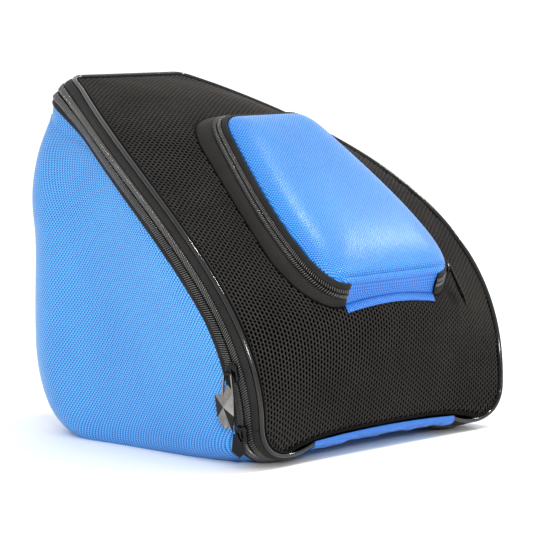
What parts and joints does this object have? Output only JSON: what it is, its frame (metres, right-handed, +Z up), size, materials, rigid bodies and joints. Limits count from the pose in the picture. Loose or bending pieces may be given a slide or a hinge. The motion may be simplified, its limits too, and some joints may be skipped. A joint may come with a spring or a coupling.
{
  "type": "ski boot bag",
  "caption": "Wedge-shaped ski boot bag with a zipped spacer-mesh front lid, a domed zipped pocket on it, woven nylon sides and a carrying handle at the back.",
  "frame": {"origin": "middle of the flat base that the bag stands on", "axes": "+Z up, -Y towards the sloping front with the lid, +X to the right seen from the front"},
  "size_m": [0.3899, 0.3656, 0.336],
  "materials": {
    "nylon": "azure woven nylon with a soft sheen",
    "spacer_mesh": "black spacer mesh with long hexagonal holes",
    "moulded_cover": "azure fabric moulded over foam",
    "zip_tape": "black woven tape",
    "zip_coil": "black nylon zip teeth",
    "piping": "glossy black piping",
    "zip_metal": "gunmetal plated die casting",
    "black_pull": "black lacquered die casting",
    "webbing": "black ribbed webbing",
    "grip": "soft black grip",
    "foam": "grey closed-cell foam in lining",
    "board": "dark grey stiffening board"
  },
  "bodies": {
    "bag": {"left_side_panel": "nylon", "right_side_panel": "nylon", "back_panel": "nylon", "base_panel": "nylon", "base_board": "board", "back_pad": "foam", "body_zip_tape": "zip_tape", "body_zip_coil": "zip_coil", "hinge_strip": "nylon", "zip_stop_left": "zip_metal", "zip_stop_right": "zip_metal", "handle_patch_left": "webbing", "handle_patch_right": "webbing"},
    "lid": {"lid_mesh_panel": "spacer_mesh", "lid_piping": "piping", "lid_zip_tape": "zip_tape", "lid_zip_coil": "zip_coil", "pocket_gusset": "zip_tape", "pocket_lower_coil": "zip_coil", "pocket_hinge_wall": "nylon"},
    "pocket_cover": {"pocket_flap": "moulded_cover", "pocket_flap_tape": "zip_tape", "pocket_upper_coil": "zip_coil"},
    "upper_zip_slider": {"upper_slider": "zip_metal"},
    "upper_zip_pull": {"upper_pull": "zip_metal"},
    "lower_zip_slider": {"lower_slider": "zip_metal"},
    "lower_zip_pull": {"lower_pull": "black_pull"},
    "pocket_zip_slider": {"pocket_slider": "black_pull"},
    "pocket_zip_pull": {"pocket_pull": "black_pull"},
    "handle": {"handle_webbing": "webbing", "handle_grip": "grip"}
  },
  "joints": [
    {"name": "lid_hinge", "type": "hinge", "parent": "bag", "child": "lid", "pos_m": [0, -0.165, 0.014], "axis": [1, 0, 0], "range_deg": [0, 85]},
    {"name": "pocket_hinge", "type": "hinge", "parent": "lid", "child": "pocket_cover", "pos_m": [0, -0.1778, 0.1584], "axis": [1, 0, 0], "range_deg": [0, 150]},
    {"name": "upper_slider_run", "type": "hinge", "parent": "bag", "child": "upper_zip_slider", "pos_m": [-0.15978, 0.03036, 0.0338], "axis": [-0.9882, 0.1204, -0.0942], "range_deg": [0, 20]},
    {"name": "upper_pull_swing", "type": "hinge", "parent": "upper_zip_slider", "child": "upper_zip_pull", "pos_m": [-0.19773, -0.13884, 0.08423], "axis": [-0.1609, 0.987, 0], "range_deg": [0, 150]},
    {"name": "lower_slider_run", "type": "slide", "parent": "bag", "child": "lower_zip_slider", "axis": [-0.1319, 0.0023, 0.9913], "range_m": [0, 0.008]},
    {"name": "lower_pull_swing", "type": "hinge", "parent": "lower_zip_slider", "child": "lower_zip_pull", "pos_m": [-0.18704, -0.14626, 0.03208], "axis": [-0.0176, 0.9998, 0], "range_deg": [0, 90]},
    {"name": "pocket_slider_run", "type": "hinge", "parent": "lid", "child": "pocket_zip_slider", "pos_m": [-0.00637, -0.1239, 0.18008], "axis": [-0.1009, -0.6811, 0.7252], "range_deg": [0, 16]},
    {"name": "pocket_pull_swing", "type": "hinge", "parent": "pocket_zip_slider", "child": "pocket_zip_pull", "pos_m": [0.0993, -0.16504, 0.16159], "axis": [-0.6125, -0.7904, 0], "range_deg": [0, 130]},
    {"name": "carry_handle", "type": "hinge", "parent": "bag", "child": "handle", "pos_m": [0, 0.1775, 0.268], "axis": [1, 0, 0], "range_deg": [0, 160]}
  ]
}
